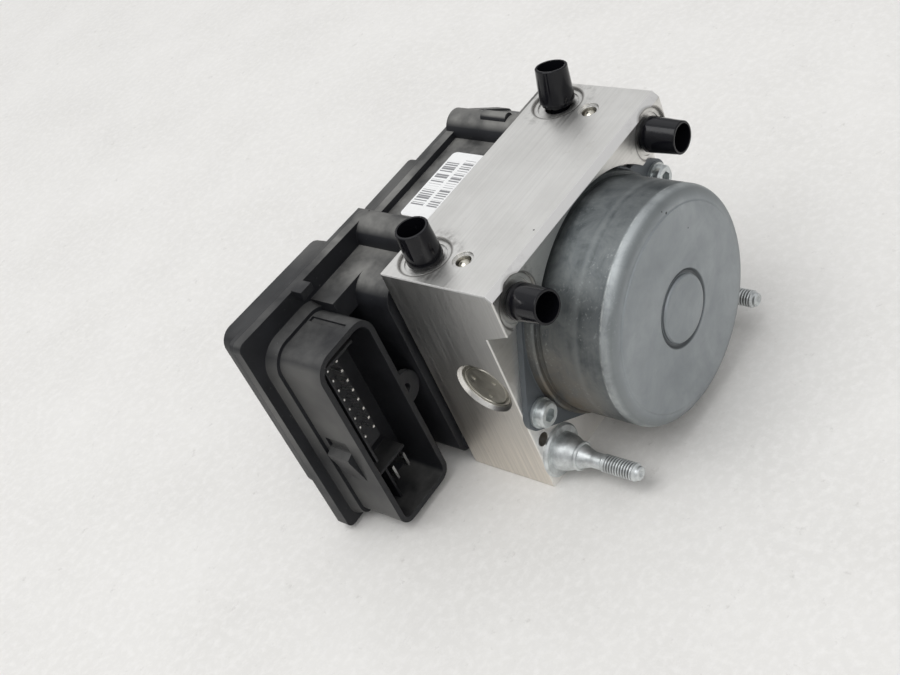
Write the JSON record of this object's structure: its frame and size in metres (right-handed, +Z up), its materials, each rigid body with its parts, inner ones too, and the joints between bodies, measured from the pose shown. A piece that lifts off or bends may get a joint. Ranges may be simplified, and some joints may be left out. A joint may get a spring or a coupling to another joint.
{
  "type": "abs brake module",
  "caption": "Anti-lock brake module: a drilled aluminium valve block with a round pump motor in front, capped pipe ports, mounting studs and a black control unit with a pin connector behind.",
  "frame": {"origin": "The centre of the valve block's flat bottom face, which the module stands on.", "axes": "+Z is up, -Y is forward, the way the pump motor and the mounting studs stand out, and +X runs along the block away from the connector."},
  "size_m": [0.14, 0.1041, 0.1004],
  "materials": {
    "milled_aluminium": "milled and drilled, brushed end faces",
    "plug_steel": "ground ball, slightly tarnished",
    "cap_plastic": "moulded black caps",
    "turned_plug": "turned",
    "hardened_steel": "ground",
    "seal_rubber": "moulded black rubber",
    "spring_steel": "drawn wire",
    "piston_aluminium": "turned and anodised",
    "cover_steel": "pressed",
    "valve_steel": "turned",
    "coil_plastic": "moulded over the winding",
    "can_zinc": "grey zinc plating, mottled",
    "screw_zinc": "bright zinc plated",
    "stud_zinc": "bright zinc plated",
    "shield_steel": "pressed",
    "magnet_ferrite": "sintered ferrite",
    "bush_bronze": "sintered bronze",
    "core_steel": "stacked laminations",
    "copper": "copper",
    "brush_plastic": "moulded",
    "carbon": "pressed carbon",
    "contact_brass": "tin plated",
    "housing_plastic": "glass-filled black moulding",
    "lid_plastic": "glass-filled black moulding",
    "board_laminate": "lacquered laminate",
    "label_paper": "white, printed with plain bars"
  },
  "bodies": {
    "module": {"accumulator_covers": "cover_steel", "accumulator_springs": "spring_steel", "ball_plugs": "plug_steel", "bearing_outer_ring": "hardened_steel", "bearing_shield": "shield_steel", "brush_plate": "brush_plastic", "brush_springs": "spring_steel", "brushes": "carbon", "circuit_board": "board_laminate", "ecu_frame": "housing_plastic", "ecu_lid": "lid_plastic", "ecu_seal": "seal_rubber", "field_magnets": "magnet_ferrite", "inlet_coil_far": "coil_plastic", "inlet_coil_near": "coil_plastic", "inlet_valve_far": "valve_steel", "inlet_valve_near": "valve_steel", "label": "label_paper", "master_port_cap_far": "cap_plastic", "master_port_cap_near": "cap_plastic", "motor_can": "can_zinc", "motor_lead": "brush_plastic", "motor_lead_pins": "contact_brass", "motor_screws": "screw_zinc", "mounting_studs": "stud_zinc", "outlet_coil_far": "coil_plastic", "outlet_coil_near": "coil_plastic", "outlet_valve_far": "valve_steel", "outlet_valve_near": "valve_steel", "piston_seals": "seal_rubber", "power_blades": "contact_brass", "pump_plug_far": "turned_plug", "pump_plug_near": "turned_plug", "pump_sleeve_far": "hardened_steel", "pump_sleeve_near": "hardened_steel", "pump_springs": "spring_steel", "shaft_bushes": "bush_bronze", "signal_pins": "contact_brass", "unit_screws": "screw_zinc", "valve_block": "milled_aluminium", "valve_springs": "spring_steel", "wheel_port_cap_far": "cap_plastic", "wheel_port_cap_near": "cap_plastic"},
    "rotor": {"motor_shaft": "hardened_steel", "rotor_core": "core_steel", "rotor_windings": "copper", "commutator": "copper", "bearing_inner_ring": "hardened_steel"},
    "ball_set": {"bearing_balls": "hardened_steel"},
    "drive_ring": {"eccentric_ring": "hardened_steel"},
    "pump_piston_near": {"pump_piston_near": "hardened_steel"},
    "pump_piston_far": {"pump_piston_far": "hardened_steel"},
    "accumulator_piston_near": {"accumulator_piston_near": "piston_aluminium", "accumulator_seal_near": "seal_rubber"},
    "accumulator_piston_far": {"accumulator_piston_far": "piston_aluminium", "accumulator_seal_far": "seal_rubber"},
    "inlet_armature_near": {"inlet_armature_near": "valve_steel"},
    "inlet_armature_far": {"inlet_armature_far": "valve_steel"},
    "outlet_armature_near": {"outlet_armature_near": "valve_steel"},
    "outlet_armature_far": {"outlet_armature_far": "valve_steel"}
  },
  "joints": [
    {"name": "rotor_spin", "type": "hinge", "parent": "module", "child": "rotor", "pos_m": [0, -0.00545, 0.0435], "axis": [0, -1, 0], "continuous": true},
    {"name": "ball_orbit", "type": "hinge", "parent": "module", "child": "ball_set", "pos_m": [0, -0.01365, 0.0435], "axis": [0, -1, 0], "continuous": true},
    {"name": "drive_ring_turn", "type": "hinge", "parent": "rotor", "child": "drive_ring", "pos_m": [0, -0.00545, 0.0444], "axis": [0, -1, 0], "continuous": true},
    {"name": "pump_stroke_near", "type": "slide", "parent": "module", "child": "pump_piston_near", "axis": [-1, 0, 0], "range_m": [0, 0.0018], "stiffness_N_per_m": 500, "springref_m": -0.002, "deforming": ["pump_springs"]},
    {"name": "pump_stroke_far", "type": "slide", "parent": "module", "child": "pump_piston_far", "axis": [1, 0, 0], "range_m": [0, 0.0018], "stiffness_N_per_m": 500, "springref_m": -0.002, "deforming": ["pump_springs"]},
    {"name": "accumulator_fill_near", "type": "slide", "parent": "module", "child": "accumulator_piston_near", "axis": [0, 0, -1], "range_m": [0, 0.007], "stiffness_N_per_m": 1500, "springref_m": -0.002, "deforming": ["accumulator_springs"]},
    {"name": "accumulator_fill_far", "type": "slide", "parent": "module", "child": "accumulator_piston_far", "axis": [0, 0, -1], "range_m": [0, 0.007], "stiffness_N_per_m": 1500, "springref_m": -0.002, "deforming": ["accumulator_springs"]},
    {"name": "inlet_valve_stroke_near", "type": "slide", "parent": "module", "child": "inlet_armature_near", "axis": [0, -1, 0], "range_m": [0, 0.0003], "stiffness_N_per_m": 200, "springref_m": -0.001, "deforming": ["valve_springs"]},
    {"name": "inlet_valve_stroke_far", "type": "slide", "parent": "module", "child": "inlet_armature_far", "axis": [0, -1, 0], "range_m": [0, 0.0003], "stiffness_N_per_m": 200, "springref_m": -0.001, "deforming": ["valve_springs"]},
    {"name": "outlet_valve_stroke_near", "type": "slide", "parent": "module", "child": "outlet_armature_near", "axis": [0, 1, 0], "range_m": [0, 0.0003], "stiffness_N_per_m": 200, "springref_m": -0.001, "deforming": ["valve_springs"]},
    {"name": "outlet_valve_stroke_far", "type": "slide", "parent": "module", "child": "outlet_armature_far", "axis": [0, 1, 0], "range_m": [0, 0.0003], "stiffness_N_per_m": 200, "springref_m": -0.001, "deforming": ["valve_springs"]}
  ],
  "couplings": [
    {"joint": "ball_orbit", "follows": "rotor_spin", "ratio": 0.394},
    {"joint": "drive_ring_turn", "follows": "rotor_spin", "ratio": -1}
  ]
}
